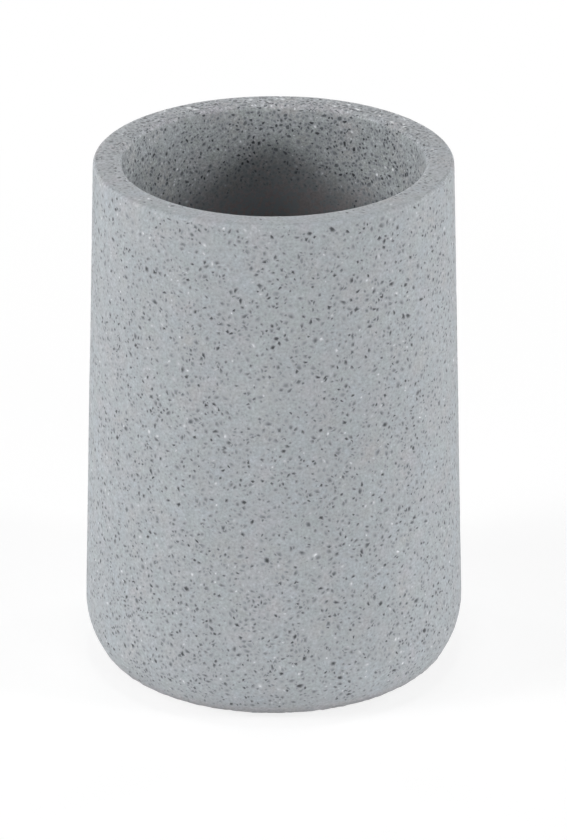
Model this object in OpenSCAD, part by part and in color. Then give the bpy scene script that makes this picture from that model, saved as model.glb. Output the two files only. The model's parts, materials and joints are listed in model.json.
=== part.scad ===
// Bathroom tumbler: one thick mineral casting that stands on a soft foam pad.
// The casting is round about Z. A tapered core leaves its cup, and a shallow seat
// in its base holds the die-cut pad, which a thin adhesive film keeps there.
// Lengths are in millimetres, and z = 0 is the surface that the pad stands on.

/* [Casting, outside] */
// Height of the casting, from the flat rim of its base to its lip
casting_h = 110; // [80:1:150]
// Outside diameter of the straight wall at the height of the lip
lip_d = 74; // [66:0.5:90]
// Outside diameter of the straight wall if it ran on down to the base
foot_d = 80.2; // [72:0.2:96]
// Radius of the belly, where the wall turns in towards the base
belly_r = 17; // [10:0.5:22]
// How far the belly turns below the level, before the tighter round under it
belly_turn_a = 34.5; // [20:0.5:50]
// Radius of the round between the belly and the flat rim of the base
base_edge_r = 5.4; // [2:0.2:8]

/* [Lip] */
// Thickness of the wall at the lip
lip_wall = 6; // [4:0.25:9]
// Radius on the outer edge of the lip
lip_outer_r = 1; // [0.4:0.1:1.8]
// Radius on the inner edge of the lip
lip_inner_r = 1.3; // [0.4:0.1:1.8]

/* [Cup] */
// Draft of the cup's wall, which lets the core be pulled out upwards
cup_draft_a = 0.55; // [0.2:0.05:1.5]
// Thickness of the casting under the cup, from the rim of the base to the cup's floor
floor_t = 9; // [5:0.5:14]
// Radius of the fillet between the cup's floor and its wall
cup_fillet_r = 9; // [3:0.5:14]

/* [Base] */
// Width of the flat rim that is left round the pad's seat
seat_rim_w = 3.3; // [1.5:0.1:6]
// Bevel on the edge of the seat
seat_bevel = 0.4; // [0.2:0.1:1]
// Gap all round between the pad and its seat
pad_clearance = 0.3; // [0.1:0.05:0.6]
// Thickness of the foam pad
pad_t = 1.5; // [1:0.1:3]
// How far the pad stands out below the rim of the base
pad_proud = 0.5; // [0.2:0.05:0.8]
// Thickness of the adhesive film
film_t = 0.2; // [0.1:0.05:0.4]
// How far the film's edge stays inside the pad's edge
film_inset = 0.4; // [0.1:0.1:1]

/* [Hidden] */
$fn = 180;

// Heights, measured from the surface that the pad stands on
rim_z = pad_proud;
lip_z = rim_z + casting_h;
floor_z = rim_z + floor_t;
film_z = pad_t;
seat_z = film_z + film_t;

// How far the cup's cut runs out above the lip
overrun = 1;

// The straight outer wall leans in by this angle, and has this radius at a height
wall_lean_a = atan((foot_d - lip_d) / 2 / casting_h);
function wall_r(z) = foot_d / 2 - (z - rim_z) * tan(wall_lean_a);

// The cup's wall is straight too, and opens upwards by its draft
function cup_r(z) = lip_d / 2 - lip_wall - (lip_z - z) * tan(cup_draft_a);

// A point at a distance and an angle from a centre
function polar(centre, r, a) = centre + r * [cos(a), sin(a)];

// Two curves that meet at a tangent are let into each other by this much, so they join cleanly
seam = 0.0003;

// Lower outside: the belly touches the wall, and the base's edge round touches the belly
base_edge_z = rim_z + base_edge_r;
belly_to_edge = belly_r - base_edge_r + seam;
belly_z = base_edge_z + belly_to_edge * sin(belly_turn_a);
belly_c = [wall_r(belly_z) - belly_r / cos(wall_lean_a), belly_z];
base_edge_c = [belly_c.x + belly_to_edge * cos(belly_turn_a), base_edge_z];

// Lip: the outer round touches the outer wall, and the inner one touches the cup's wall
lip_outer_z = lip_z - lip_outer_r;
lip_outer_c = [wall_r(lip_outer_z) - lip_outer_r / cos(wall_lean_a), lip_outer_z];
lip_inner_z = lip_z - lip_inner_r;
lip_inner_c = [cup_r(lip_inner_z) + lip_inner_r / cos(cup_draft_a), lip_inner_z];

// Cup: the fillet touches the floor and the wall
cup_fillet_z = floor_z + cup_fillet_r;
cup_fillet_c = [cup_r(cup_fillet_z) - cup_fillet_r / cos(cup_draft_a), cup_fillet_z];

// Seat, pad and film share one axis, and each follows the rim of the base
seat_r = base_edge_c.x - seat_rim_w;
pad_r = seat_r - pad_clearance;
film_r = pad_r - film_inset;

// A whole round, and the quarter of one that starts at an angle
module round_at(centre, r) {
    translate(centre) circle(r);
}

module quarter_at(centre, r, start_a) {
    translate(centre) rotate(start_a) intersection() {
        circle(r);
        square(2 * r);
    }
}

// Half section of the outside, solid to the axis: rim, edge round, belly, wall and lip
module outside_section() {
    polygon([
        [0, rim_z],
        [base_edge_c.x, rim_z],
        base_edge_c,
        polar(belly_c, belly_r - seam, wall_lean_a),
        polar(lip_outer_c, lip_outer_r - seam, wall_lean_a),
        [lip_outer_c.x, lip_z],
        [0, lip_z]
    ]);
    round_at(base_edge_c, base_edge_r);
    quarter_at(belly_c, belly_r, -belly_turn_a);
    round_at(lip_outer_c, lip_outer_r);
}

// Half section of the cup's space: floor, fillet, drafted wall and the eased mouth
module cup_section() {
    difference() {
        union() {
            polygon([
                [0, floor_z],
                [cup_fillet_c.x, floor_z],
                polar(cup_fillet_c, cup_fillet_r - seam, -cup_draft_a),
                polar(lip_inner_c, lip_inner_r - seam, 180 - cup_draft_a),
                [lip_inner_c.x, lip_z],
                [lip_inner_c.x, lip_z + overrun],
                [0, lip_z + overrun]
            ]);
            round_at(cup_fillet_c, cup_fillet_r);
        }
        round_at(lip_inner_c, lip_inner_r);
    }
}

// Half section of the pad's seat, whose bevel runs on down to the standing surface
module seat_section() {
    polygon([
        [0, 0],
        [seat_r + seat_bevel + rim_z, 0],
        [seat_r, rim_z + seat_bevel],
        [seat_r, seat_z],
        [0, seat_z]
    ]);
}

// The cast vessel, with its cup and the pad's seat
module tumbler_body() {
    color("#a2a6aa") rotate_extrude() difference() {
        outside_section();
        cup_section();
        seat_section();
    }
}

// Die-cut foam disc, the only piece that touches the surface
module base_pad() {
    color("#33363a") cylinder(r = pad_r, h = pad_t);
}

// Film between the pad and the top of its seat
module pad_adhesive() {
    color("#d9d2b8") translate([0, 0, film_z]) cylinder(r = film_r, h = film_t);
}

tumbler_body();
base_pad();
pad_adhesive();
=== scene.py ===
"""Bathroom tumbler: a mineral casting full of dark grit, on a die-cut foam pad.

Laid out as an add-on and run as a script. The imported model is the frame: its
boxes and rings give every place, and all lengths here are in metres.
"""

import json
import math
from types import SimpleNamespace

import bpy
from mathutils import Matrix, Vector

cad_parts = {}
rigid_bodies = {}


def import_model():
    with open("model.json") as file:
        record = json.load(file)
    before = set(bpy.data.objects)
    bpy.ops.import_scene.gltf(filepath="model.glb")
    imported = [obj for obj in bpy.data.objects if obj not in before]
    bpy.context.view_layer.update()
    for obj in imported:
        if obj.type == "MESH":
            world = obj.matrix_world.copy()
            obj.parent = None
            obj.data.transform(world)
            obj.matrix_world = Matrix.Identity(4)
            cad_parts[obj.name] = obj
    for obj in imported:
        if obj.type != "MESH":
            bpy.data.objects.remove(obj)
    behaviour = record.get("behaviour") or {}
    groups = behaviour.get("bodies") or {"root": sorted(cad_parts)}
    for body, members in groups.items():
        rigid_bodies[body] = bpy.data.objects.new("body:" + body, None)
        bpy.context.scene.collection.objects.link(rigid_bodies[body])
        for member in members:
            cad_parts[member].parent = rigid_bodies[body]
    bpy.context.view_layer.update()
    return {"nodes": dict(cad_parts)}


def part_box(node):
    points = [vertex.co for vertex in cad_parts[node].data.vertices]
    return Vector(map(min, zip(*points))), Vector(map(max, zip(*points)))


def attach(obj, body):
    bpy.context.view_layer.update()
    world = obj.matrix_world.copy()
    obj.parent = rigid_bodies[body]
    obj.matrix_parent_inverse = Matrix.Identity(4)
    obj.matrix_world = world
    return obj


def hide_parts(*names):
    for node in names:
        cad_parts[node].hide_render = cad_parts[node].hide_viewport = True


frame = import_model()

bl_info = {
    "name": "Bathroom Tumbler",
    "version": (1, 0, 0),
    "blender": (4, 5, 0),
    "location": "3D View > Sidebar > Tumbler",
    "description": "Dresses the cast tumbler: mineral mix, grit, foam pad and a plain studio",
    "category": "Object",
}

MM = 0.001
BODY = "root"

# The kinds of node that are used most
MATH = "ShaderNodeMath"
VECTOR_MATH = "ShaderNodeVectorMath"
MAP_RANGE = "ShaderNodeMapRange"
NOISE = "ShaderNodeTexNoise"
RANDOM = "FunctionNodeRandomValue"

# Kinds of grit: share of the chips, smallest and largest in mm, lean to the small, and least and most bare
GRIT_KINDS = {
    "basalt": {"share": 0.2, "size": (0.9, 1.75), "lean": 2.0, "bare": (0.35, 1.1)},
    "slate": {"share": 0.3, "size": (0.95, 1.85), "lean": 1.8, "bare": (0.35, 1.0)},
    "bluestone": {"share": 0.4, "size": (1.0, 1.95), "lean": 1.7, "bare": (0.35, 1.0)},
    "quartz": {"share": 0.1, "size": (0.7, 1.6), "lean": 2.2, "bare": (0.12, 0.62)},
}

# Soft lamps: degrees round from the camera's side to its right, degrees up, share of the lamp power,
# and width in metres
LAMPS = {
    "front": (0, 10, 0.032, 0.2),
    "front_right": (35, 10, 0.152, 0.2),
    "left": (-70, 20, 0.226, 0.2),
    "right": (70, 20, 0.225, 0.2),
    "left_sheet": (-70, 27, 0.309, 0.6),
    "right_sheet": (70, 27, 0.086, 0.6),
    "back_left": (-125, 15, 0.105, 0.2),
    "back_right": (125, 15, 0.15, 0.2),
    "back_sheet": (180, 10, 0.192, 0.6),
    "top": (0, 89, 0.169, 0.15),
}

# Places that the frame gives
RIM_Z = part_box("tumbler_body")[0].z
LIP_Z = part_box("tumbler_body")[1].z
SEAT_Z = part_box("pad_adhesive")[1].z
PAD_LOW, PAD_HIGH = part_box("base_pad")

# Thickness of the casting under the cup, the height of the cup's floor, and a height just under it
FLOOR_T = 9 * MM
CUP_FLOOR_Z = RIM_Z + FLOOR_T
CUP_LOW_Z = CUP_FLOOR_Z - 1 * MM

# The lip's finish starts at this height
LIP_LOW_Z = LIP_Z - 0.9 * MM

# The cup's face is coarse down to the first of these heights and has settled smooth at the second
SHALLOW_Z = LIP_Z - 9 * MM
DEEP_Z = LIP_Z - 20 * MM

# Towards the cup's left and right both of them are lower, by this share of the distance aside
SIDE_DROP = 0.35

# The grit on the cup's floor shows up to the first of these heights, and above the second it is settled over
FLOOR_LOW_Z = CUP_FLOOR_Z + 1 * MM
FLOOR_HIGH_Z = CUP_FLOOR_Z + 8 * MM

# Little grit shows below the first of these heights, where the paste ran round the base, and the belly's
# whole share shows above the second. Below them the paste is also painted warmer, a painted reflection of
# warm light from below
BARE_Z = RIM_Z + 2.4 * MM
FULL_Z = RIM_Z + 4.2 * MM

# The grit has the belly's share up to the first of these heights, and the outer wall's above the second
BELLY_LOW_Z = 15 * MM
BELLY_HIGH_Z = 30 * MM

# A point this close to a face counts as on it
ON_FACE = 0.1 * MM

# Noise lies mostly between these levels
NOISE_SPAN = {"From Min": 0.3, "From Max": 0.7}

# In its cell of the bake map, the middle and half width of a chip's top and of its sides, and of both upwards
TOP_CELL = (0.37, 0.33)
SIDE_CELL = (0.87, 0.09)
CELL_UP = (0.5, 0.44)

# Radius of the floor card, and how far it lies under the pad
CARD_R = 5.0
CARD_GAP = 0.05 * MM

# The photograph's frame is aimed this far to the right of the casting's middle and below it
AIM_OFFSET = (2.03 * MM, -3.34 * MM, 0)


def linear(hex_colour):
    """An sRGB hex colour as linear red, green and blue."""
    parts = [int(hex_colour[i : i + 2], 16) / 255 for i in (1, 3, 5)]
    return tuple(c / 12.92 if c <= 0.04045 else ((c + 0.055) / 1.055) ** 2.4 for c in parts)


def cad_rings(node, z):
    """Radii, smallest first, of the rings of vertices that a CAD node has at one height."""
    near = 0.01 * MM
    radii = {
        round(v.co.xy.length, 6) for v in frame["nodes"][node].data.vertices if abs(v.co.z - z) < near
    }
    return sorted(radii)


# Radii of the middle of the wall at the lip, and of the seat's bevel where it meets the rim of the base
MID_WALL_R = sum(cad_rings("tumbler_body", LIP_Z)) / 2
SEAT_EDGE_R = cad_rings("tumbler_body", RIM_Z)[0]


class CastingSizes(bpy.types.PropertyGroup):
    """Rounds of the casting that the frame's box doesn't give, and how finely it is drawn."""

    lip_outer_r: bpy.props.FloatProperty(
        name="Outer lip round",
        description="Radius on the outer edge of the lip",
        default=1.0 * MM,
        unit="LENGTH",
    )
    lip_inner_r: bpy.props.FloatProperty(
        name="Inner lip round",
        description="Radius on the inner edge of the lip",
        default=1.3 * MM,
        unit="LENGTH",
    )
    belly_r: bpy.props.FloatProperty(
        name="Belly",
        description="Radius where the wall turns in towards the base",
        default=17.0 * MM,
        unit="LENGTH",
    )
    belly_turn: bpy.props.FloatProperty(
        name="Belly's turn",
        description="How far the belly turns below the level",
        default=math.radians(34.5),
        subtype="ANGLE",
    )
    base_edge_r: bpy.props.FloatProperty(
        name="Base edge round",
        description="Radius between the belly and the rim of the base",
        default=5.4 * MM,
        unit="LENGTH",
    )
    floor_t: bpy.props.FloatProperty(
        name="Floor",
        description="Thickness of the casting under the cup",
        default=FLOOR_T,
        unit="LENGTH",
    )
    cup_fillet_r: bpy.props.FloatProperty(
        name="Cup fillet",
        description="Radius between the cup's floor and its wall",
        default=9.0 * MM,
        unit="LENGTH",
    )
    seat_bevel: bpy.props.FloatProperty(
        name="Seat bevel",
        description="Bevel on the edge of the pad's seat",
        default=0.4 * MM,
        unit="LENGTH",
    )
    pitch: bpy.props.FloatProperty(
        name="Pitch",
        description="Longest step between two rings of the casting's mesh",
        default=1.6 * MM,
        unit="LENGTH",
    )
    turns: bpy.props.IntProperty(
        name="Steps round",
        description="How many steps the casting's section is turned through",
        default=256,
    )
    waviness: bpy.props.FloatProperty(
        name="Waviness",
        description="How far the cast faces stray in and out from the true form",
        default=0.12 * MM,
        unit="LENGTH",
    )
    run_out: bpy.props.FloatProperty(
        name="Run-out",
        description="Between the least and the most that the paste ran out, round the base's edge",
        default=0.36 * MM,
        unit="LENGTH",
    )


class MixColours(bpy.types.PropertyGroup):
    """Colours of the casting's mix and of its pad."""

    paste: bpy.props.FloatVectorProperty(
        name="Paste",
        description="Cement and resin paste between the grit",
        subtype="COLOR",
        default=linear("#a9adb1"),
    )
    basalt: bpy.props.FloatVectorProperty(
        name="Basalt",
        description="Darkest grit",
        subtype="COLOR",
        default=linear("#3a3d41"),
    )
    slate: bpy.props.FloatVectorProperty(
        name="Slate",
        description="Dark grey grit",
        subtype="COLOR",
        default=linear("#5a5e62"),
    )
    bluestone: bpy.props.FloatVectorProperty(
        name="Bluestone",
        description="Mid grey grit",
        subtype="COLOR",
        default=linear("#7a7e82"),
    )
    quartz: bpy.props.FloatVectorProperty(
        name="Quartz",
        description="White grit",
        subtype="COLOR",
        default=linear("#eceef0"),
    )
    foam: bpy.props.FloatVectorProperty(
        name="Foam",
        description="Closed-cell foam of the pad",
        subtype="COLOR",
        default=linear("#2f3235"),
    )
    film: bpy.props.FloatVectorProperty(
        name="Film",
        description="Adhesive film over the pad",
        subtype="COLOR",
        default=linear("#cfc6a6"),
    )


class GritSettings(bpy.types.PropertyGroup):
    """How the grit lies in the casting's faces."""

    spacing: bpy.props.FloatProperty(
        name="Closest spacing",
        description="Least distance between the middles of two chips",
        default=0.55 * MM,
        unit="LENGTH",
    )
    density: bpy.props.FloatProperty(
        name="Most chips",
        description="Chips per square millimetre, before the spacing thins them",
        default=1.5,
    )
    clump: bpy.props.FloatProperty(
        name="Clump",
        description="Width of the crowded and the plainer patches",
        default=5.0 * MM,
        unit="LENGTH",
    )
    outside_share: bpy.props.FloatProperty(
        name="Outside",
        description="Share of the chips that shows on the outer wall",
        default=0.62,
        subtype="FACTOR",
    )
    belly_share: bpy.props.FloatProperty(
        name="Belly",
        description="Share of the chips that shows on the belly",
        default=0.78,
        subtype="FACTOR",
    )
    base_share: bpy.props.FloatProperty(
        name="Base edge",
        description="Share of the chips that shows round the base's edge and under it",
        default=0.1,
        subtype="FACTOR",
    )
    outside_bare: bpy.props.FloatProperty(
        name="Outside bareness",
        description="How bare of paste the chips on the outer wall are",
        default=0.75,
        subtype="FACTOR",
    )
    lip_share: bpy.props.FloatProperty(
        name="Lip",
        description="How thick the chips lie on the lip's sides and back, against the faces beside it",
        default=1.4,
        subtype="FACTOR",
    )
    lip_front_share: bpy.props.FloatProperty(
        name="Front of the lip",
        description="How thick the chips lie on the lip's front, where they were wiped over",
        default=0.2,
        subtype="FACTOR",
    )
    lip_bare: bpy.props.FloatProperty(
        name="Lip bareness",
        description="How bare of paste the chips at the back of the lip are",
        default=1.55,
        subtype="FACTOR",
    )
    lip_front_bare: bpy.props.FloatProperty(
        name="Front lip bareness",
        description="How bare of paste the chips at the front of the lip are",
        default=0.7,
        subtype="FACTOR",
    )
    lip_size: bpy.props.FloatProperty(
        name="Size on the lip",
        description="Size of the chips that show on the lip, against those outside",
        default=1.15,
        subtype="FACTOR",
    )
    cup_size: bpy.props.FloatProperty(
        name="Size in the cup",
        description="Size of the chips that show in the cup, against those outside",
        default=0.8,
        subtype="FACTOR",
    )
    cup_bare: bpy.props.FloatProperty(
        name="Cup bareness",
        description="How bare of paste the chips near the cup's mouth are",
        default=1.15,
        subtype="FACTOR",
    )
    deep_bare: bpy.props.FloatProperty(
        name="Deep bareness",
        description="How bare of paste the chips deep in the cup are",
        default=0.09,
        subtype="FACTOR",
    )
    floor_bare: bpy.props.FloatProperty(
        name="Floor bareness",
        description="How bare of paste the chips on the cup's floor are",
        default=0.7,
        subtype="FACTOR",
    )
    proud: bpy.props.FloatProperty(
        name="Proud",
        description="How far the chips' faces stand proud of the paste at most",
        default=0.025 * MM,
        unit="LENGTH",
    )
    seed: bpy.props.IntProperty(
        name="Seed",
        description="Start of every random draw for the grit",
        default=7,
    )


class StudioSettings(bpy.types.PropertyGroup):
    """Camera and lamps."""

    distance: bpy.props.FloatProperty(
        name="Camera distance",
        description="From the lens to the middle of the casting",
        default=1.1,
        unit="LENGTH",
    )
    elevation: bpy.props.FloatProperty(
        name="Camera elevation",
        description="How far the camera looks down",
        default=math.radians(23.82),
        subtype="ANGLE",
    )
    lens: bpy.props.FloatProperty(
        name="Lens",
        description="Focal length in millimetres, on a sensor 36 mm along its long side",
        default=226.0,
    )
    lamp_distance: bpy.props.FloatProperty(
        name="Lamp distance",
        description="From each soft lamp to the middle of the casting",
        default=1.3,
        unit="LENGTH",
    )
    lamp_power: bpy.props.FloatProperty(
        name="Lamp power",
        description="Power that each lamp takes its share of",
        default=20.7,
        unit="POWER",
    )


def polar(centre, radius, angle):
    """A point at a distance and an angle from a centre, in the section's plane."""
    return Vector((centre.x + radius * math.cos(angle), centre.y + radius * math.sin(angle)))


def arc(centre, radius, start, end, step=math.radians(6)):
    """Points along an arc, both ends included."""
    count = max(3, math.ceil(abs(end - start) / step))
    return [polar(centre, radius, start + (end - start) * i / count) for i in range(count + 1)]


def divided(points, pitch):
    """The same line of points with every step longer than the pitch cut into equal ones."""
    out = [points[0]]
    for a, b in zip(points, points[1:]):
        count = max(1, math.ceil((b - a).length / pitch))
        out += [a.lerp(b, i / count) for i in range(1, count + 1)]
    return out


def casting_section(s):
    """Half section of the casting as (radius, height) points.

    It runs from the middle of the pad's seat round the outside to the middle of the cup's floor. The frame's
    rings place the rounds' centres, and each straight touches the rounds at its ends.
    """
    lip_in_x, lip_out_x = cad_rings("tumbler_body", LIP_Z)
    rim_out_x = cad_rings("tumbler_body", RIM_Z)[-1]
    seat_x = SEAT_EDGE_R - s.seat_bevel
    floor_z = RIM_Z + s.floor_t
    floor_x = cad_rings("tumbler_body", floor_z)[-1]

    edge_c = Vector((rim_out_x, RIM_Z + s.base_edge_r))
    belly_c = polar(edge_c, s.belly_r - s.base_edge_r, math.pi - s.belly_turn)
    lip_out_c = Vector((lip_out_x, LIP_Z - s.lip_outer_r))
    lip_in_c = Vector((lip_in_x, LIP_Z - s.lip_inner_r))
    fillet_c = Vector((floor_x, floor_z + s.cup_fillet_r))

    def touch(low, high, reach):
        """Angle of the outward normal of a line whose distances from low and high differ by reach."""
        along = high - low
        return math.atan2(along.y, along.x) - math.acos(reach / along.length)

    pit_shade = touch(belly_c, lip_out_c, s.belly_r - s.lip_outer_r)
    cup = touch(fillet_c, lip_in_c, s.cup_fillet_r + s.lip_inner_r)
    outline = [
        Vector((0, SEAT_Z)),
        Vector((seat_x, SEAT_Z)),
        Vector((seat_x, RIM_Z + s.seat_bevel)),
        Vector((SEAT_EDGE_R, RIM_Z)),
        *arc(edge_c, s.base_edge_r, -math.pi / 2, -s.belly_turn),
        *arc(belly_c, s.belly_r, -s.belly_turn, pit_shade)[1:],
        *arc(lip_out_c, s.lip_outer_r, pit_shade, math.pi / 2, math.radians(12)),
        *arc(lip_in_c, s.lip_inner_r, math.pi / 2, math.pi + cup, math.radians(12)),
        *arc(fillet_c, s.cup_fillet_r, cup, -math.pi / 2),
        Vector((0, floor_z)),
    ]
    return divided(outline, s.pitch)


def only(obj):
    """Makes obj the one selected and active object."""
    bpy.ops.object.select_all(action="DESELECT")
    obj.select_set(True)
    bpy.context.view_layer.objects.active = obj


def named(name):
    """The object just added, under a plain name for it and its mesh."""
    obj = bpy.context.object
    obj.name = obj.data.name = name
    return obj


def placed(obj):
    """Puts the object's place, turn and scale into its mesh."""
    only(obj)
    bpy.ops.object.transform_apply(location=True, rotation=True, scale=True)
    return obj


def spun(name, section, turns=96):
    """A closed round piece from a half section that starts and ends on the axis."""
    bpy.ops.object.select_all(action="DESELECT")
    bpy.ops.mesh.primitive_plane_add(size=MM, location=(0, 0, section[0].y))
    piece = placed(named(name))
    bpy.ops.object.mode_set(mode="EDIT")
    bpy.ops.mesh.select_all(action="SELECT")
    bpy.ops.mesh.merge(type="CENTER")
    for a, b in zip(section, section[1:]):
        step = b - a
        bpy.ops.mesh.extrude_region_move(TRANSFORM_OT_translate={"value": (step.x, 0, step.y)})
    bpy.ops.object.mode_set(mode="OBJECT")
    # The modifier gives the same order of faces each run, and the spin operator doesn't
    turned = piece.modifiers.new("turned", "SCREW")
    turned.steps = turned.render_steps = turns
    turned.use_merge_vertices = True
    turned.merge_threshold = 0.001 * MM
    turned.use_normal_calculate = True
    bpy.ops.object.modifier_apply(modifier=turned.name)
    bpy.ops.object.mode_set(mode="EDIT")
    bpy.ops.mesh.select_all(action="SELECT")
    bpy.ops.mesh.normals_make_consistent(inside=False)
    bpy.ops.object.mode_set(mode="OBJECT")
    bpy.ops.object.shade_smooth_by_angle(angle=math.radians(35))
    piece.data.uv_layers.remove(piece.data.uv_layers[0])
    return piece


def dress(obj, material):
    """Gives a finished piece its one material and lets it ride on the body."""
    obj.data.materials.clear()
    obj.data.materials.append(material)
    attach(obj, BODY)


def add(tree, kind, sockets=None, **settings):
    """Adds a node with its settings.

    A socket takes a value, a node's output, or a node for its first output.
    """
    made = tree.nodes.new(kind)
    for name, value in settings.items():
        setattr(made, name, value)
    for name, value in (sockets or {}).items():
        if isinstance(value, bpy.types.Node):
            value = value.outputs[0]
        if isinstance(value, bpy.types.NodeSocket):
            tree.links.new(value, made.inputs[name])
        else:
            made.inputs[name].default_value = value
    return made


def new_material(name):
    """An empty node material and its tree."""
    material = bpy.data.materials.new(name)
    material.use_nodes = True
    material.node_tree.nodes.clear()
    return material, material.node_tree


def zones(tree, place):
    """Tells where a point of the casting lies.

    height and rear are its Z and Y, and reach is its distance from the axis. cup and lip are 1 there and 0
    elsewhere. shallow goes from 0 where the cup has settled to 1 near its mouth, and off_floor from 0 at the
    cup's floor to 1.
    """
    parts = add(tree, "ShaderNodeSeparateXYZ", {0: place}).outputs
    height = parts["Z"]
    level = add(tree, VECTOR_MATH, {0: place, 1: (1, 1, 0)}, operation="MULTIPLY")
    reach = add(tree, VECTOR_MATH, {0: level}, operation="LENGTH").outputs["Value"]
    inward = add(tree, MATH, {0: reach, 1: MID_WALL_R}, operation="LESS_THAN")
    above = add(tree, MATH, {0: height, 1: CUP_LOW_Z}, operation="GREATER_THAN")
    cup = add(tree, MATH, {0: inward, 1: above}, operation="MULTIPLY")
    lip = add(tree, MATH, {0: height, 1: LIP_LOW_Z}, operation="GREATER_THAN")
    aside = add(tree, MATH, {0: parts["X"]}, operation="ABSOLUTE")
    depth = add(tree, MATH, {0: aside, 1: SIDE_DROP, 2: height}, operation="MULTIPLY_ADD")
    shallow = add(tree, MAP_RANGE, {"Value": depth, "From Min": DEEP_Z, "From Max": SHALLOW_Z})
    off_floor = add(tree, MAP_RANGE, {"Value": height, "From Min": FLOOR_LOW_Z, "From Max": FLOOR_HIGH_Z})
    at = {"height": height, "rear": parts["Y"], "reach": reach, "cup": cup, "lip": lip}
    return SimpleNamespace(**at, shallow=shallow, off_floor=off_floor)


def paste_tone(tree, place, at, cup):
    """How light the paste is against its plain colour."""
    # Clouds, mottle and sand: width in mm, detail, and how far each one strays from 1
    tone = 1.0
    for width, detail, spread in ((18.0, 3.0, 0.025), (1.6, 1.0, 0.05), (0.55, 2.0, 0.16)):
        layer = {"Vector": place, "Scale": 1 / (width * MM), "Detail": detail}
        layer = {"Value": add(tree, NOISE, layer), **NOISE_SPAN}
        layer = add(tree, MAP_RANGE, {**layer, "To Min": 1 - spread, "To Max": 1 + spread})
        tone = add(tree, MATH, {0: tone, 1: layer}, operation="MULTIPLY")

    # They are stronger near the cup's mouth and at the lip's back, and weaker where the cup has settled
    coarse = add(tree, MAP_RANGE, {"Value": at.shallow, "To Min": -0.4, "To Max": 0.5})
    contrast = add(tree, MATH, {0: cup, 1: coarse, 2: 1.0}, operation="MULTIPLY_ADD")
    limits = {"From Min": -30 * MM, "From Max": 10 * MM, "To Min": 0.0, "To Max": 1.4}
    rearward = add(tree, MAP_RANGE, {"Value": at.rear, **limits})
    contrast = add(tree, MATH, {0: at.lip, 1: rearward, 2: contrast}, operation="MULTIPLY_ADD")
    tone = add(tree, MATH, {0: tone, 1: contrast}, operation="POWER")

    # Finer sand lies open near the cup's mouth, as the core left it
    sandy = add(tree, NOISE, {"Vector": place, "Scale": 1 / (0.32 * MM), "Detail": 1.0})
    sandy = add(tree, MAP_RANGE, {"Value": sandy, **NOISE_SPAN, "To Min": -0.19, "To Max": 0.25})
    grainy = add(tree, MATH, {0: cup, 1: at.shallow}, operation="MULTIPLY")
    sandy = add(tree, MATH, {0: sandy, 1: grainy, 2: 1.0}, operation="MULTIPLY_ADD")
    tone = add(tree, MATH, {0: tone, 1: sandy}, operation="MULTIPLY")

    # Grit just under the skin shows through as soft spots, more of them darker than lighter
    sunk = add(tree, "ShaderNodeTexVoronoi", {"Vector": place, "Scale": 1 / (0.75 * MM)})
    lot = add(tree, "ShaderNodeSeparateColor", {0: sunk.outputs["Color"]}).outputs
    spot_r = add(tree, MAP_RANGE, {"Value": lot[0], "To Min": 0.05, "To Max": 0.42})
    core_r = add(tree, MATH, {0: spot_r, 1: 0.5}, operation="MULTIPLY")
    edge = {"Value": sunk, "From Min": core_r, "From Max": spot_r, "To Min": 1.0, "To Max": 0.0}
    spot = add(tree, MAP_RANGE, edge, interpolation_type="SMOOTHSTEP")
    dark = add(tree, MAP_RANGE, {"Value": lot[1], "To Min": 0.2, "To Max": -0.3})
    veiled = add(tree, MATH, {0: spot, 1: dark, 2: 1.0}, operation="MULTIPLY_ADD")
    return add(tree, MATH, {0: tone, 1: veiled}, operation="MULTIPLY")


def paste_tint(tree, place, at, cup):
    """How warm or cool the paste is, as a colour that its plain one is multiplied by."""
    cloud = add(tree, NOISE, {"Vector": place, "Scale": 1 / (6 * MM), "Detail": 1.0})
    patch = add(tree, "ShaderNodeSeparateColor", {0: cloud.outputs["Color"]}).outputs
    warmth = add(tree, MAP_RANGE, {"Value": patch[0], "From Min": 0.45, "From Max": 0.75, "To Max": 0.8})

    # The lip's back has aged warmer. The paste round the base is painted warmer too, a painted reflection of
    # warm light bounced up from the surface under it
    limits = {"From Min": -35 * MM, "From Max": 35 * MM, "To Min": 0.0, "To Max": 0.5}
    aged = add(tree, MAP_RANGE, {"Value": at.rear, **limits})
    warmth = add(tree, MATH, {0: at.lip, 1: aged, 2: warmth}, operation="MULTIPLY_ADD", use_clamp=True)
    limits = {"From Min": BARE_Z, "From Max": FULL_Z, "To Min": 0.9, "To Max": 0.0}
    base_bounce_warmth = add(tree, MAP_RANGE, {"Value": at.height, **limits})
    warmth = add(tree, MATH, {0: warmth, 1: base_bounce_warmth}, operation="MAXIMUM")

    # The settled wall of the cup is painted warmer still, down to its floor: painted shade colour that makes
    # the deep cup's shade read neutral, not blue
    deep_shade_warmth = add(tree, MAP_RANGE, {"Value": at.shallow, "To Min": 2.1, "To Max": 0.1})
    deep_shade_warmth = add(tree, MATH, {0: deep_shade_warmth, 1: at.off_floor}, operation="MULTIPLY")
    warmth = add(tree, MATH, {0: cup, 1: deep_shade_warmth, 2: warmth}, operation="MULTIPLY_ADD")
    ends = {0: warmth, 6: (0.986, 1.012, 1.009, 1), 7: (1.046, 0.992, 0.982, 1)}
    tint = add(tree, "ShaderNodeMix", ends, data_type="RGBA", clamp_factor=False).outputs[2]

    # Other patches are a touch bluer or yellower, and the whole cup is painted a touch yellower, to take the
    # blue out of the shade inside it
    blue = add(tree, MAP_RANGE, {"Value": patch[1], **NOISE_SPAN, "To Min": 0.982, "To Max": 1.018})
    blue = add(tree, MATH, {0: cup, 1: -0.022, 2: blue}, operation="MULTIPLY_ADD")
    blue = add(tree, "ShaderNodeCombineXYZ", {0: 1.0, 1: 1.0, 2: blue})
    return add(tree, VECTOR_MATH, {0: tint, 1: blue}, operation="MULTIPLY")


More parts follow.
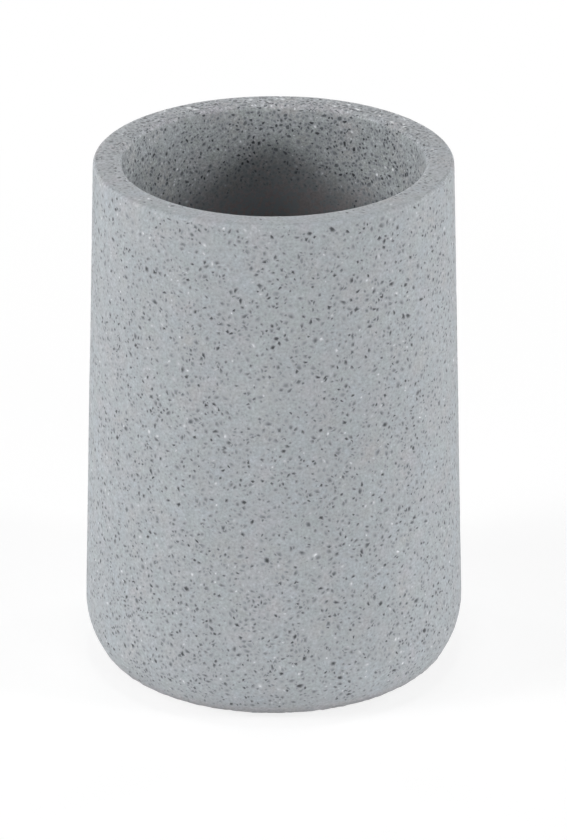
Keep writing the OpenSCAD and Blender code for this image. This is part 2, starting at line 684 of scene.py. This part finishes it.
def cast_mineral_paste(colours):
    """Cement and resin paste, cast in a mould and left unpolished.

    It is matt and even to the hand. The eye sees faint clouds, a fine sandy mottle, patches a touch warmer or
    cooler, and grit just under the skin. The cup is coarse near its mouth, and further down the paste has
    settled smooth and is painted warmer, so that the shade deep in the cup reads neutral, not blue. Round the
    edge of the base it ran a little and is plain, and is painted warmer there, a painted reflection of warm
    light from below.
    """
    material, tree = new_material("cast_mineral_paste")
    place = add(tree, "ShaderNodeTexCoord").outputs["Object"]
    at = zones(tree, place)
    below = add(tree, MATH, {0: 1.0, 1: at.lip}, operation="SUBTRACT")
    cup = add(tree, MATH, {0: at.cup, 1: below}, operation="MULTIPLY")
    tone = paste_tone(tree, place, at, cup)
    tint = paste_tint(tree, place, at, cup)
    paste = add(tree, VECTOR_MATH, {0: tint, 1: (*colours.paste,)}, operation="MULTIPLY")
    paste = add(tree, VECTOR_MATH, {0: paste, "Scale": tone}, operation="SCALE")
    grain = add(tree, NOISE, {"Vector": place, "Scale": 1 / (0.3 * MM), "Detail": 2.0})
    skin = add(tree, "ShaderNodeBump", {"Height": grain, "Strength": 0.5, "Distance": 0.02 * MM})
    finish = {"Base Color": paste, "Roughness": 0.72, "IOR": 1.5, "Normal": skin}
    casting = add(tree, "ShaderNodeBsdfPrincipled", finish)
    add(tree, "ShaderNodeOutputMaterial", {"Surface": casting})
    return material


def seen_directly(tree):
    """1 for rays from the camera, from gloss and through glass, and 0 for the light that falls on things."""
    path = add(tree, "ShaderNodeLightPath").outputs
    gloss = add(tree, MATH, {0: path["Is Glossy Ray"], 1: path["Is Transmission Ray"]}, operation="MAXIMUM")
    return add(tree, MATH, {0: gloss, 1: path["Is Camera Ray"]}, operation="MAXIMUM")


def pale_floor():
    """Matt white card that glows a little round the tumbler, as a lit sweep does.

    To the eye it is plain white, with the tumbler's soft shadow close round it.
    """
    # Distances from the axis: the card is dim under the tumbler, to foot_r, and full from clear_r on, which
    # is painted shade that darkens the tumbler's lowest edge. It glows out to glow_r, and the shadow that the
    # eye sees fades between shadow_r and white_r.
    foot_r, clear_r, glow_r = 0.037, 0.041, 0.2
    shadow_r, white_r = 0.12, 0.3
    material, tree = new_material("matt_white_card")
    place = add(tree, "ShaderNodeTexCoord").outputs["Object"]
    reach = add(tree, VECTOR_MATH, {0: place}, operation="LENGTH").outputs["Value"]
    near = add(tree, MATH, {0: reach, 1: glow_r}, operation="LESS_THAN")
    # Close round the foot the card is darker and does not glow: painted shade, so that the light it throws
    # back leaves the tumbler's lowest edge darker
    clear = add(tree, MAP_RANGE, {"Value": reach, "From Min": foot_r, "From Max": clear_r})
    glow = add(tree, MATH, {0: near, 1: 0.19}, operation="MULTIPLY")
    glow = add(tree, MATH, {0: glow, 1: clear}, operation="MULTIPLY")
    card = add(tree, MAP_RANGE, {"Value": clear, "To Min": 0.6, "To Max": 0.86})
    layers = []
    for colour, light in ((card, glow), ((0.25, 0.25, 0.25, 1), 0.8)):
        matt = add(tree, "ShaderNodeBsdfDiffuse", {"Color": colour})
        lit = add(tree, "ShaderNodeEmission", {"Strength": light})
        layers.append(add(tree, "ShaderNodeAddShader", {0: matt, 1: lit}))
    lighting, shadowed = layers
    white = add(tree, "ShaderNodeEmission", {"Strength": 1.0})
    ends = {"Value": reach, "From Min": shadow_r, "From Max": white_r}
    far = add(tree, MAP_RANGE, ends, interpolation_type="SMOOTHSTEP")
    seen = add(tree, "ShaderNodeMixShader", {0: far, 1: shadowed, 2: white})
    either = add(tree, "ShaderNodeMixShader", {0: seen_directly(tree), 1: lighting, 2: seen})
    add(tree, "ShaderNodeOutputMaterial", {"Surface": either})
    return material


def white_room():
    """World that looks white to the eye and in reflections, while the lamps alone give the light."""
    world = bpy.data.worlds.new("white_room")
    world.use_nodes = True
    tree = world.node_tree
    tree.nodes.clear()
    white = add(tree, "ShaderNodeBackground", {"Color": (1, 1, 1, 1), "Strength": seen_directly(tree)})
    add(tree, "ShaderNodeOutputWorld", {"Surface": white})
    return world


def strayed(piece, name, width, group, strength, level):
    """Moves a piece's faces in and out by noise of a given width, where its vertex group is.

    The faces stay where the noise has the level, and from 0 to 1 it moves them by the strength.
    """
    noise = bpy.data.textures.new(name, "CLOUDS")
    noise.noise_scale = width
    noise.noise_depth = 1
    stray = piece.modifiers.new(name, "DISPLACE")
    stray.texture = noise
    stray.texture_coords = "LOCAL"
    stray.strength = strength
    stray.mid_level = level
    stray.vertex_group = group.name
    only(piece)
    bpy.ops.object.modifier_apply(modifier=stray.name)


class TUMBLER_OT_casting(bpy.types.Operator):
    """Spins the casting's section round, waves it a little and gives it the mineral mix"""

    bl_idname = "tumbler.casting"
    bl_label = "Casting"

    def execute(self, context):
        s = context.scene.tumbler_sizes
        casting = spun("cast_tumbler", casting_section(s), s.turns)
        # Two groups of vertices: the faces outside the pad's clean seat, and the edge where the paste ran out
        cast_faces = casting.vertex_groups.new(name="cast_faces")
        run_out = casting.vertex_groups.new(name="run_out")
        run_low, run_inner = 0.4 * MM, SEAT_EDGE_R + 1 * MM
        for v in casting.data.vertices:
            up, reach = v.co.z - RIM_Z, v.co.xy.length
            if v.co.z > SEAT_Z + ON_FACE or reach > SEAT_EDGE_R - ON_FACE:
                cast_faces.add([v.index], 1.0, "REPLACE")
            if up > 0 and v.co.z < FULL_Z and reach > run_inner:
                share = min(1, up / run_low, (FULL_Z - v.co.z) / (FULL_Z - BARE_Z))
                run_out.add([v.index], share, "REPLACE")
        # The waves leave the paste behind the true form, by what the grit stands proud and up to the waviness
        # more. Round the base the paste ran a little past that form, and its edge is left as it set.
        behind = 1 + context.scene.tumbler_grit.proud / s.waviness
        strayed(casting, "hand_cast_waves", 22 * MM, cast_faces, s.waviness, behind)
        strayed(casting, "set_paste_lumps", 1.1 * MM, run_out, s.run_out, 0.2)
        casting.vertex_groups.clear()
        dress(casting, cast_mineral_paste(context.scene.tumbler_colours))
        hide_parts("tumbler_body")
        return {"FINISHED"}


def crushed_stone(name, stone, paste):
    """Crushed stone grit under the last film of paste.

    It is matt and fades into the paste at each chip's rim. No two chips are quite the same grey.
    """
    material, tree = new_material(name)
    place = add(tree, "ShaderNodeTexCoord").outputs["Object"]
    vary = add(tree, NOISE, {"Vector": place, "Scale": 1 / (1.1 * MM), "Detail": 1.0})
    tone = add(tree, MAP_RANGE, {"Value": vary, **NOISE_SPAN, "To Min": 0.7, "To Max": 1.3})
    core = add(tree, "ShaderNodeAttribute", attribute_name="core").outputs["Fac"]
    bare = add(tree, MAP_RANGE, {"Value": core, "From Max": 0.6}, interpolation_type="SMOOTHSTEP")
    toned = add(tree, VECTOR_MATH, {0: (*stone,), "Scale": tone}, operation="SCALE")
    veiled = add(tree, "ShaderNodeMix", {0: bare, 6: (*paste, 1), 7: toned}, data_type="RGBA").outputs[2]
    grit = add(tree, "ShaderNodeBsdfPrincipled", {"Base Color": veiled, "Roughness": 0.6, "IOR": 1.55})
    add(tree, "ShaderNodeOutputMaterial", {"Surface": grit})
    return material


def chip_models(seed):
    """A few crushed chips, each about a metre across, so that a scatter's scale is a chip's size.

    A chip is a broken pyramid with its point down. The attribute top marks its irregular top, and core is 1
    in the middle of the top and 0 on its rim. The map keeps the top and the sunk sides apart.
    """
    # Depth of a chip's point, how far its corners are shaken, and a distance that counts as none
    depth, shake, near = 0.5, 0.16, 0.01
    # Corners of each chip's top, and how much longer than wide it is
    forms = ((5, 1.0), (6, 1.1), (4, 1.0), (5, 1.3), (5, 1.5), (6, 1.2), (4, 1.4), (5, 1.9), (5, 2.6))
    shelf = bpy.data.collections.new("chips")
    bpy.context.scene.collection.children.link(shelf)
    for i, (corners, long) in enumerate(forms):
        bpy.ops.object.select_all(action="DESELECT")
        cone = {"radius1": 0, "radius2": 0.5, "depth": depth, "location": (0, 0, -depth / 2)}
        bpy.ops.mesh.primitive_cone_add(vertices=corners, end_fill_type="TRIFAN", **cone)
        chip = placed(named(f"chip_{i}"))
        for note in ("core", "top"):
            chip.data.attributes.new(note, "FLOAT", "POINT")
        for v in chip.data.vertices:
            chip.data.attributes["core"].data[v.index].value = float(v.co.length < near)
            chip.data.attributes["top"].data[v.index].value = float(v.co.z > -near)
        bpy.ops.object.mode_set(mode="EDIT")
        bpy.ops.mesh.select_all(action="SELECT")
        bpy.ops.transform.vertex_random(offset=shake, uniform=1.0, seed=seed + i)
        bpy.ops.transform.resize(value=(long**0.5, long**-0.5, 1), center_override=(0, 0, 0))
        bpy.ops.object.mode_set(mode="OBJECT")
        chip.data.uv_layers.remove(chip.data.uv_layers[0])
        cell = chip.data.uv_layers.new(name="OFBake")
        core = chip.data.attributes["core"]
        reach = max(max(abs(v.co.x), abs(v.co.y)) for v in chip.data.vertices)
        for face in chip.data.polygons:
            on_top = any(core.data[v].value > 0.5 for v in face.vertices)
            for loop in face.loop_indices:
                at = chip.data.vertices[chip.data.loops[loop].vertex_index].co.xy / reach
                middle, half = TOP_CELL if on_top else SIDE_CELL
                cell.uv[loop].vector = (middle + half * at.x, CELL_UP[0] + CELL_UP[1] * at.y)
        for home in list(chip.users_collection):
            home.objects.unlink(chip)
        shelf.objects.link(chip)
    return shelf


def changed(tree, value, changes):
    """A value times 1 plus what goes with each zone, where that zone is."""
    for where, more in changes:
        there = add(tree, MATH, {0: where, 1: more, 2: 1.0}, operation="MULTIPLY_ADD")
        value = add(tree, MATH, {0: value, 1: there}, operation="MULTIPLY")
    return value


def shown_share(tree, place, at, outer, g):
    """Share of the chips that shows at a place, which has crowded and plainer patches.

    Fewer show on the outer wall, on the lip's front and round the base, and none in the clean-cut seat.
    """
    crowd = add(tree, NOISE, {"Vector": place, "Scale": 1 / g.clump, "Detail": 2.0})
    limits = {"From Min": 0.33, "From Max": 0.6, "To Min": 0.5, "To Max": 1.0}
    shown = add(tree, MAP_RANGE, {"Value": crowd, **limits})
    limits = {"From Min": BARE_Z, "From Max": FULL_Z, "To Min": g.base_share, "To Max": 1.0}
    clear = add(tree, MAP_RANGE, {"Value": at.height, **limits})
    shown = add(tree, MATH, {0: shown, 1: clear}, operation="MULTIPLY")
    limits = {"To Min": g.belly_share - 1, "To Max": g.outside_share - 1}
    upward = {"Value": at.height, "From Min": BELLY_LOW_Z, "From Max": BELLY_HIGH_Z, **limits}
    upward = add(tree, MAP_RANGE, upward)
    limits = {"To Min": g.lip_front_share - 1, "To Max": g.lip_share - 1}
    fewer = add(tree, MAP_RANGE, {"Value": at.rear, "From Min": -30 * MM, "From Max": -8 * MM, **limits})
    low = add(tree, MATH, {0: at.height, 1: SEAT_Z + ON_FACE}, operation="LESS_THAN")
    within = add(tree, MATH, {0: at.reach, 1: SEAT_EDGE_R}, operation="LESS_THAN")
    seat = add(tree, MATH, {0: low, 1: within}, operation="MULTIPLY")
    return changed(tree, shown, ((outer, upward), (at.lip, fewer), (seat, -1.0)))


def noted(tree, points, at, outer, kind, g):
    """Stores on each chip's point its number, how far it stands out and how bare of paste it is."""
    lift = add(tree, RANDOM, {2: 0.4, 3: 1.0, "Seed": g.seed + 2}, data_type="FLOAT").outputs[1]
    least, most = kind["bare"]
    bare = add(tree, RANDOM, {2: least, 3: most, "Seed": g.seed + 6}, data_type="FLOAT").outputs[1]
    settled = {"Value": at.shallow, "To Min": g.deep_bare - 1, "To Max": g.cup_bare - 1}
    settled = add(tree, MAP_RANGE, settled)
    clearer = {"Value": at.off_floor, "To Min": g.floor_bare - g.deep_bare, "To Max": 0.0}
    clearer = add(tree, MAP_RANGE, clearer)
    settled = add(tree, MATH, {0: settled, 1: clearer}, operation="ADD")
    limits = {"To Min": g.lip_front_bare - 1, "To Max": g.lip_bare - 1}
    wiped = add(tree, MAP_RANGE, {"Value": at.rear, "From Min": -25 * MM, "From Max": 25 * MM, **limits})
    bare = changed(tree, bare, ((outer, g.outside_bare - 1), (at.cup, settled), (at.lip, wiped)))
    number = add(tree, "GeometryNodeInputIndex")
    for note, value, data_type in (("lift", lift, "FLOAT"), ("bare", bare, "FLOAT"), ("chip", number, "INT")):
        stored = {0: points, "Name": note, "Value": value}
        points = add(tree, "GeometryNodeStoreNamedAttribute", stored, data_type=data_type, domain="POINT")
    return points


def laid(tree, points, rotation, chips, at, kind, g):
    """Puts a chip of a random model, turn and size on each point, flat on the face."""
    lean = add(tree, RANDOM, {"Seed": g.seed + 3}, data_type="FLOAT").outputs[1]
    lean = add(tree, MATH, {0: lean, 1: kind["lean"]}, operation="POWER")
    small, large = kind["size"]
    size = add(tree, MAP_RANGE, {"Value": lean, "To Min": small * MM, "To Max": large * MM})
    size = changed(tree, size, ((at.cup, g.cup_size - 1), (at.lip, g.lip_size - 1)))
    angle = add(tree, RANDOM, {3: math.tau, "Seed": g.seed + 4}, data_type="FLOAT").outputs[1]
    turn = add(tree, "FunctionNodeAxisAngleToRotation", {"Axis": (0, 0, 1), "Angle": angle})
    facing = add(tree, "FunctionNodeRotateRotation", {0: rotation, 1: turn}, rotation_space="LOCAL")
    last = len(chips.objects) - 1
    pick = add(tree, RANDOM, {4: 0, 5: last, "Seed": g.seed + 5}, data_type="INT").outputs[2]
    models = add(tree, "GeometryNodeCollectionInfo", {"Collection": chips, "Separate Children": True})
    chosen = {"Instance": models, "Pick Instance": True, "Instance Index": pick}
    chosen = {0: points, **chosen, "Rotation": facing, "Scale": size}
    chosen = add(tree, "GeometryNodeInstanceOnPoints", chosen)
    return add(tree, "GeometryNodeRealizeInstances", {0: chosen})


def bedded(tree, real, skin, place, g):
    """Sets the corners of each chip's top on the casting's face, and veils its core by the paste on it."""
    face = add(tree, "GeometryNodeProximity", {0: skin, "Sample Position": place}, target_element="FACES")
    nearest = {"Mesh": skin, "Value": add(tree, "GeometryNodeInputNormal"), "Sample Position": place}
    out = add(tree, "GeometryNodeSampleNearestSurface", nearest, data_type="FLOAT_VECTOR")
    kept = {}
    for note in ("top", "lift", "core", "bare"):
        kept[note] = add(tree, "GeometryNodeInputNamedAttribute", {"Name": note}, data_type="FLOAT")
    top = add(tree, "FunctionNodeCompare", {0: kept["top"], 1: 0.5}, operation="GREATER_THAN")
    proud = add(tree, MATH, {0: kept["lift"], 1: g.proud}, operation="MULTIPLY")
    raised = add(tree, VECTOR_MATH, {0: out, "Scale": proud}, operation="SCALE")
    moved = {0: real, "Selection": top, "Position": face, "Offset": raised}
    moved = add(tree, "GeometryNodeSetPosition", moved)
    core = add(tree, MATH, {0: kept["core"], 1: kept["bare"]}, operation="MULTIPLY")
    veiled = {0: moved, "Name": "core", "Value": core}
    return add(tree, "GeometryNodeStoreNamedAttribute", veiled, domain="POINT")


def mapped(tree, grit, count):
    """Moves each chip's part of the bake map to its own cell of a square grid, and clears the notes."""
    root = add(tree, MATH, {0: count}, operation="SQRT")
    across = add(tree, MATH, {0: root}, operation="CEIL")
    chip = add(tree, "GeometryNodeInputNamedAttribute", {"Name": "chip"}, data_type="INT")
    column = add(tree, MATH, {0: chip, 1: across}, operation="MODULO")
    rows = add(tree, MATH, {0: chip, 1: across}, operation="DIVIDE")
    row = add(tree, MATH, {0: rows}, operation="FLOOR")
    corner = add(tree, "ShaderNodeCombineXYZ", {0: column, 1: row})
    in_cell = add(tree, "GeometryNodeInputNamedAttribute", {"Name": "OFBake"}, data_type="FLOAT_VECTOR")
    moved = add(tree, VECTOR_MATH, {0: corner, 1: in_cell}, operation="ADD")
    width = add(tree, MATH, {0: 1.0, 1: across}, operation="DIVIDE")
    fitted = add(tree, VECTOR_MATH, {0: moved, "Scale": width}, operation="SCALE")
    stored = {0: grit, "Name": "OFBake", "Value": fitted}
    done = add(tree, "GeometryNodeStoreNamedAttribute", stored, data_type="FLOAT2", domain="CORNER")
    for note in ("lift", "bare", "chip", "top", "id"):
        done = add(tree, "GeometryNodeRemoveAttribute", {0: done, "Name": note})
    return done


def grit_tree(name, casting, chips, kind, g):
    """Geometry nodes that strew one kind of chip over the casting and bed their tops in its face.

    Every kind draws the same places and keeps those whose lot is its own, so no two kinds share a place.
    """
    tree = bpy.data.node_groups.new(name, "GeometryNodeTree")
    for end in ("INPUT", "OUTPUT"):
        tree.interface.new_socket("Geometry", in_out=end, socket_type="NodeSocketGeometry")
    skin = add(tree, "GeometryNodeObjectInfo", {"Object": casting}).outputs["Geometry"]
    place = add(tree, "GeometryNodeInputPosition")
    at = zones(tree, place)
    outer = add(tree, MATH, {0: 1.0, 1: at.cup}, operation="SUBTRACT")
    shown = shown_share(tree, place, at, outer, g)
    spread = {"Distance Min": g.spacing, "Density Max": g.density / MM**2, "Density Factor": shown}
    spread = {0: skin, **spread, "Seed": g.seed}
    strewn = add(tree, "GeometryNodeDistributePointsOnFaces", spread, distribute_method="POISSON")
    lot = add(tree, RANDOM, {"Seed": g.seed + 1}, data_type="FLOAT").outputs[1]
    middle, half = (kind["from"] + kind["to"]) / 2, (kind["to"] - kind["from"]) / 2
    mine = add(tree, "FunctionNodeCompare", {0: lot, 1: middle, "Epsilon": half}, operation="EQUAL")
    own = add(tree, "GeometryNodeSeparateGeometry", {0: strewn, 1: mine}, domain="POINT")
    count = add(tree, "GeometryNodeAttributeDomainSize", {0: own}, component="POINTCLOUD")
    points = noted(tree, own, at, outer, kind, g)
    real = laid(tree, points, strewn.outputs["Rotation"], chips, at, kind, g)
    grit = bedded(tree, real, skin, place, g)
    done = mapped(tree, grit, count.outputs["Point Count"])
    add(tree, "NodeGroupOutput", {0: done})
    return tree


class TUMBLER_OT_grit(bpy.types.Operator):
    """Strews the crushed grit over the casting's faces"""

    bl_idname = "tumbler.grit"
    bl_label = "Grit"

    def execute(self, context):
        g, colours = context.scene.tumbler_grit, context.scene.tumbler_colours
        casting = bpy.data.objects["cast_tumbler"]
        chips = chip_models(g.seed)
        drawn = 0.0
        for stone, kind in GRIT_KINDS.items():
            lots = {"from": drawn, "to": drawn + kind["share"]}
            drawn += kind["share"]
            bpy.ops.object.select_all(action="DESELECT")
            bpy.ops.mesh.primitive_plane_add(size=MM)
            grit = named(f"{stone}_grit")
            strew = grit.modifiers.new("strew", "NODES")
            strew.node_group = grit_tree(grit.name, casting, chips, kind | lots, g)
            only(grit)
            bpy.ops.object.modifier_apply(modifier=strew.name)
            finish = crushed_stone(f"crushed_{stone}", getattr(colours, stone), colours.paste)
            dress(grit, finish)
        for chip in list(chips.objects):
            bpy.data.objects.remove(chip)
        bpy.data.collections.remove(chips)
        return {"FINISHED"}


def die_cut_foam(colours):
    """Closed-cell EVA foam cut from a sheet: dull charcoal, its cut cells showing as fine pits with painted
    shade in them.
    """
    material, tree = new_material("die_cut_eva_foam")
    place = add(tree, "ShaderNodeTexCoord").outputs["Object"]
    cells = add(tree, "ShaderNodeTexVoronoi", {"Vector": place, "Scale": 1 / (0.35 * MM)})
    cloud = add(tree, NOISE, {"Vector": place, "Scale": 1 / (4 * MM), "Detail": 3.0})
    # Each cell is darker towards its middle, where the bump sinks it: painted shade in the pits
    limits = {"From Min": 0.1, "From Max": 0.6, "To Min": 0.62, "To Max": 1.1}
    pit_shade = add(tree, MAP_RANGE, {"Value": cells, **limits})
    fade = add(tree, MAP_RANGE, {"Value": cloud, **NOISE_SPAN, "To Min": 0.9, "To Max": 1.12})
    tone = add(tree, MATH, {0: pit_shade, 1: fade}, operation="MULTIPLY")
    foam = add(tree, VECTOR_MATH, {0: (*colours.foam,), "Scale": tone}, operation="SCALE")
    pits = add(tree, "ShaderNodeBump", {"Height": cells, "Strength": 0.8, "Distance": 0.08 * MM})
    finish = {"Base Color": foam, "Roughness": 0.85, "IOR": 1.48, "Normal": pits}
    sheet = add(tree, "ShaderNodeBsdfPrincipled", finish)
    add(tree, "ShaderNodeOutputMaterial", {"Surface": sheet})
    return material


class TUMBLER_OT_pad(bpy.types.Operator):
    """Cuts the foam pad: its edge is drawn in a little at mid height and eased where it stands"""

    bl_idname = "tumbler.pad"
    bl_label = "Foam pad"

    def execute(self, context):
        low, high, r = PAD_LOW.z, PAD_HIGH.z, PAD_HIGH.x
        # How far the edge is drawn in, the round where it stands, and how far inside it the faces start
        waist, eased, margin = 0.08 * MM, 0.2 * MM, 2 * MM
        side = [
            Vector((r - waist * math.sin(math.pi * t), low + eased + (high - low - eased) * t))
            for t in (0, 0.17, 0.33, 0.5, 0.67, 0.83, 1)
        ]
        ease = arc(Vector((r - eased, low + eased)), eased, -math.pi / 2, 0, math.radians(30))[:-1]
        under = [Vector((x, low)) for x in (0, r / 3, r * 2 / 3, r - margin)]
        top = [Vector((x, high)) for x in (r - margin, r * 2 / 3, r / 3, 0)]
        pad = spun("foam_pad", under + ease + side + top)
        dress(pad, die_cut_foam(context.scene.tumbler_colours))
        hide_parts("base_pad")
        return {"FINISHED"}


def acrylic_film(colours):
    """Acrylic transfer tape: clear amber film, satin where it was pulled off its liner."""
    material, tree = new_material("acrylic_transfer_film")
    place = add(tree, "ShaderNodeTexCoord").outputs["Object"]
    streak = add(tree, "ShaderNodeMapping", {"Vector": place, "Scale": (1.0, 0.12, 1.0)})
    drawn = add(tree, NOISE, {"Vector": streak, "Scale": 1 / (0.8 * MM), "Detail": 2.0})
    tone = add(tree, MAP_RANGE, {"Value": drawn, **NOISE_SPAN, "To Min": 0.93, "To Max": 1.07})
    film = add(tree, VECTOR_MATH, {0: (*colours.film,), "Scale": tone}, operation="SCALE")
    tape = add(tree, "ShaderNodeBsdfPrincipled", {"Base Color": film, "Roughness": 0.35, "IOR": 1.47})
    add(tree, "ShaderNodeOutputMaterial", {"Surface": tape})
    return material


class TUMBLER_OT_film(bpy.types.Operator):
    """Gives the adhesive film, whose plain disc is right as it is, its material"""

    bl_idname = "tumbler.film"
    bl_label = "Adhesive film"

    def execute(self, context):
        film = frame["nodes"]["pad_adhesive"]
        film.data.materials.clear()
        film.data.materials.append(acrylic_film(context.scene.tumbler_colours))
        return {"FINISHED"}


class TUMBLER_OT_studio(bpy.types.Operator):
    """Adds the pale floor, the soft lamps and the camera"""

    bl_idname = "tumbler.studio"
    bl_label = "Studio"

    def execute(self, context):
        s = context.scene.tumbler_studio
        scene = context.scene
        scene.view_settings.view_transform = "Standard"
        under = (0, 0, PAD_LOW.z - CARD_GAP)
        bpy.ops.mesh.primitive_circle_add(vertices=96, radius=CARD_R, fill_type="NGON", location=under)
        floor = placed(named("floor"))
        floor.data.materials.append(pale_floor())
        scene.world = white_room()

        middle = Vector((0, 0, (RIM_Z + LIP_Z) / 2))
        back = Vector((0, -math.cos(s.elevation), math.sin(s.elevation)))
        turn = (-back).to_track_quat("-Z", "Y")
        bpy.ops.object.camera_add(location=middle + back * s.distance)
        camera = bpy.context.object
        camera.name = "camera"
        camera.data.sensor_width = 36.0
        camera.data.lens = s.lens
        aim = middle + turn @ Vector(AIM_OFFSET)
        camera.rotation_euler = (aim - camera.location).to_track_quat("-Z", "Y").to_euler()
        camera.data.clip_start = 0.05
        camera.data.clip_end = 20.0
        scene.camera = camera
        for name, (around, up, share, width) in LAMPS.items():
            around, up = math.radians(around), math.radians(up)
            way = Vector((math.sin(around) * math.cos(up), -math.cos(around) * math.cos(up), math.sin(up)))
            facing = (-way).to_track_quat("-Z", "Y").to_euler()
            bpy.ops.object.light_add(type="AREA", location=middle + way * s.lamp_distance, rotation=facing)
            lamp = named(f"lamp_{name}")
            lamp.data.shape = "SQUARE"
            lamp.data.size = width
            lamp.data.energy = s.lamp_power * share
            lamp.visible_camera = False
        return {"FINISHED"}


SETTINGS = {
    "tumbler_sizes": CastingSizes,
    "tumbler_colours": MixColours,
    "tumbler_grit": GritSettings,
    "tumbler_studio": StudioSettings,
}
OPERATORS = (TUMBLER_OT_casting, TUMBLER_OT_grit, TUMBLER_OT_pad, TUMBLER_OT_film, TUMBLER_OT_studio)


class TUMBLER_PT_pieces(bpy.types.Panel):
    """Lists what the script makes, and its settings"""

    bl_idname = "TUMBLER_PT_pieces"
    bl_label = "Bathroom tumbler"
    bl_space_type = "VIEW_3D"
    bl_region_type = "UI"
    bl_category = "Tumbler"

    def draw(self, context):
        for made in OPERATORS:
            self.layout.operator(made.bl_idname)
        for group, kind in SETTINGS.items():
            box = self.layout.box()
            for name in kind.__annotations__:
                box.prop(getattr(context.scene, group), name)


CLASSES = (*SETTINGS.values(), *OPERATORS, TUMBLER_PT_pieces)


def register():
    """Registers the classes and hangs the settings on the scene."""
    for c in CLASSES:
        bpy.utils.register_class(c)
    for name, kind in SETTINGS.items():
        setattr(bpy.types.Scene, name, bpy.props.PointerProperty(type=kind))


def unregister():
    """Takes the settings and the classes away again."""
    for name in SETTINGS:
        delattr(bpy.types.Scene, name)
    for c in reversed(CLASSES):
        bpy.utils.unregister_class(c)


def main():
    """Builds every piece and the studio."""
    register()
    bpy.ops.tumbler.casting()
    bpy.ops.tumbler.grit()
    bpy.ops.tumbler.pad()
    bpy.ops.tumbler.film()
    bpy.ops.tumbler.studio()


if __name__ == "__main__":
    main()
